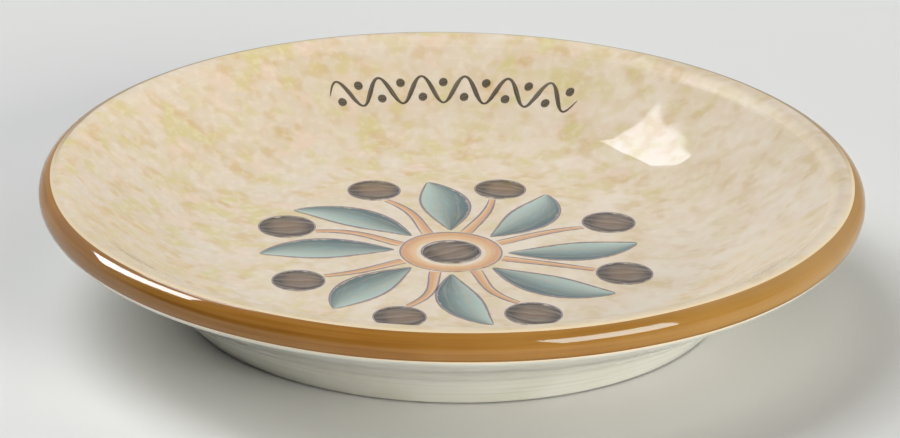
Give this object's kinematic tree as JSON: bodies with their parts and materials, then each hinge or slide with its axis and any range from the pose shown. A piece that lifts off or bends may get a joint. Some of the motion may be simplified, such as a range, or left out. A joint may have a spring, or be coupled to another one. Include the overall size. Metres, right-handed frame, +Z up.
{
  "type": "dip dish",
  "caption": "Small shallow round dish for dips, oil or nibbles, with a flat floor, sloping wall, rolled lip with a coloured band, and a low foot ring.",
  "frame": {"origin": "middle of the plane that the dish stands on", "axes": "+Z up along the axis that the dish was turned on; X and Y are alike, -Y faces the picture's camera"},
  "size_m": [0.15, 0.15, 0.024],
  "materials": {
    "bare_clay": "dry fired earthenware, matt, fine grained",
    "cream_glaze": "glossy clear glaze over cream slip sponged with tan and yellow, with a painted rosette",
    "ochre_glaze": "glossy ochre brown glaze, paler where it runs thin at its edges",
    "white_glaze": "glossy warm white glaze with faint turning lines"
  },
  "bodies": {
    "root": {"clay_body": "bare_clay", "face_glaze": "cream_glaze", "rim_band": "ochre_glaze", "underside_glaze": "white_glaze", "recess_glaze": "white_glaze"}
  },
  "joints": []
}
